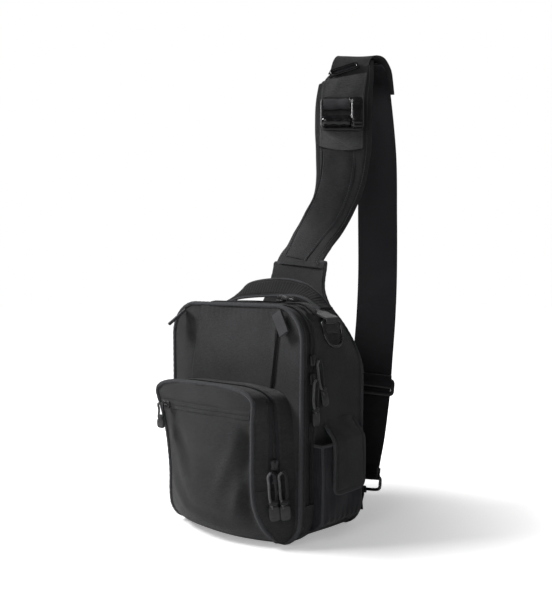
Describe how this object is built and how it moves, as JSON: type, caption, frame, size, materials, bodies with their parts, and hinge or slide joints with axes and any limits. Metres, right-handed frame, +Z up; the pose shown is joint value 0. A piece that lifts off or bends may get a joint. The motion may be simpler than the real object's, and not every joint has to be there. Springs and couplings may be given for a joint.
{
  "type": "crossbody bag",
  "caption": "Soft one-strap crossbody bag with a zipped body, a bellows front pocket, a flapped side pouch, a grab handle and a padded shoulder strap.",
  "frame": {"origin": "underside of the strap's highest fold, where the bag hangs from a shoulder or a hook", "axes": "+Z up, the bag's front looks along -Y, +X towards the side with the pouch and the ring"},
  "size_m": [0.2425, 0.3258, 0.6158],
  "materials": {
    "shell_cloth": "matte coated charcoal nylon, fine weave",
    "binding": "matte corded edge binding",
    "pad_mesh": "matte air mesh",
    "ribbed_nylon": "soft sheen, fine ribs",
    "zip": "woven tape over a covered coil",
    "webbing": "woven black webbing",
    "gloss_plastic": "polished black",
    "matte_plastic": "fine grained black",
    "pull_cord": "cord with moulded soft ends",
    "ring_metal": "black coated wire"
  },
  "bodies": {
    "bag": {"front_gusset": "shell_cloth", "rear_gusset": "shell_cloth", "bottom_gusset": "shell_cloth", "front_panel": "shell_cloth", "back_panel": "shell_cloth", "pocket_gusset_front": "shell_cloth", "pocket_gusset_rear": "shell_cloth", "pocket_gusset_low_right": "shell_cloth", "pocket_gusset_low_left": "shell_cloth", "pocket_face": "shell_cloth", "corner_tab_right": "shell_cloth", "corner_tab_left": "shell_cloth", "pouch_flap": "shell_cloth", "shoulder_pad": "shell_cloth", "strap_channel": "shell_cloth", "strap_cover": "shell_cloth", "grab_handle": "shell_cloth", "front_piping": "binding", "back_binding": "binding", "pocket_piping": "binding", "back_pad": "pad_mesh", "side_pouch": "ribbed_nylon", "pouch_bottom": "ribbed_nylon", "main_zip": "zip", "pocket_zip": "zip", "pocket_front_zip": "zip", "top_zip": "zip", "rear_webbing": "webbing", "webbing_end": "webbing", "lower_tab": "webbing", "d_ring_tab": "webbing", "strap_buckle": "gloss_plastic", "buckle_block": "gloss_plastic", "buckle_bar": "gloss_plastic", "strap_keeper": "matte_plastic", "tri_glide": "matte_plastic", "front_slider": "matte_plastic", "pocket_slider_upper": "matte_plastic", "pocket_slider_lower": "matte_plastic", "main_slider_upper": "matte_plastic", "main_slider_lower": "matte_plastic", "top_slider": "matte_plastic", "front_pull": "pull_cord", "pocket_pull_upper": "pull_cord", "pocket_pull_lower": "pull_cord", "main_pull_upper": "pull_cord", "main_pull_lower": "pull_cord", "top_pull": "pull_cord", "lower_ring": "ring_metal"},
    "d_ring": {"d_ring": "ring_metal"}
  },
  "joints": [
    {"name": "d_ring_swing", "type": "hinge", "parent": "bag", "child": "d_ring", "pos_m": [0.06541, -0.149, -0.3495], "axis": [0, -1, 0], "range_deg": [0, 120]}
  ]
}
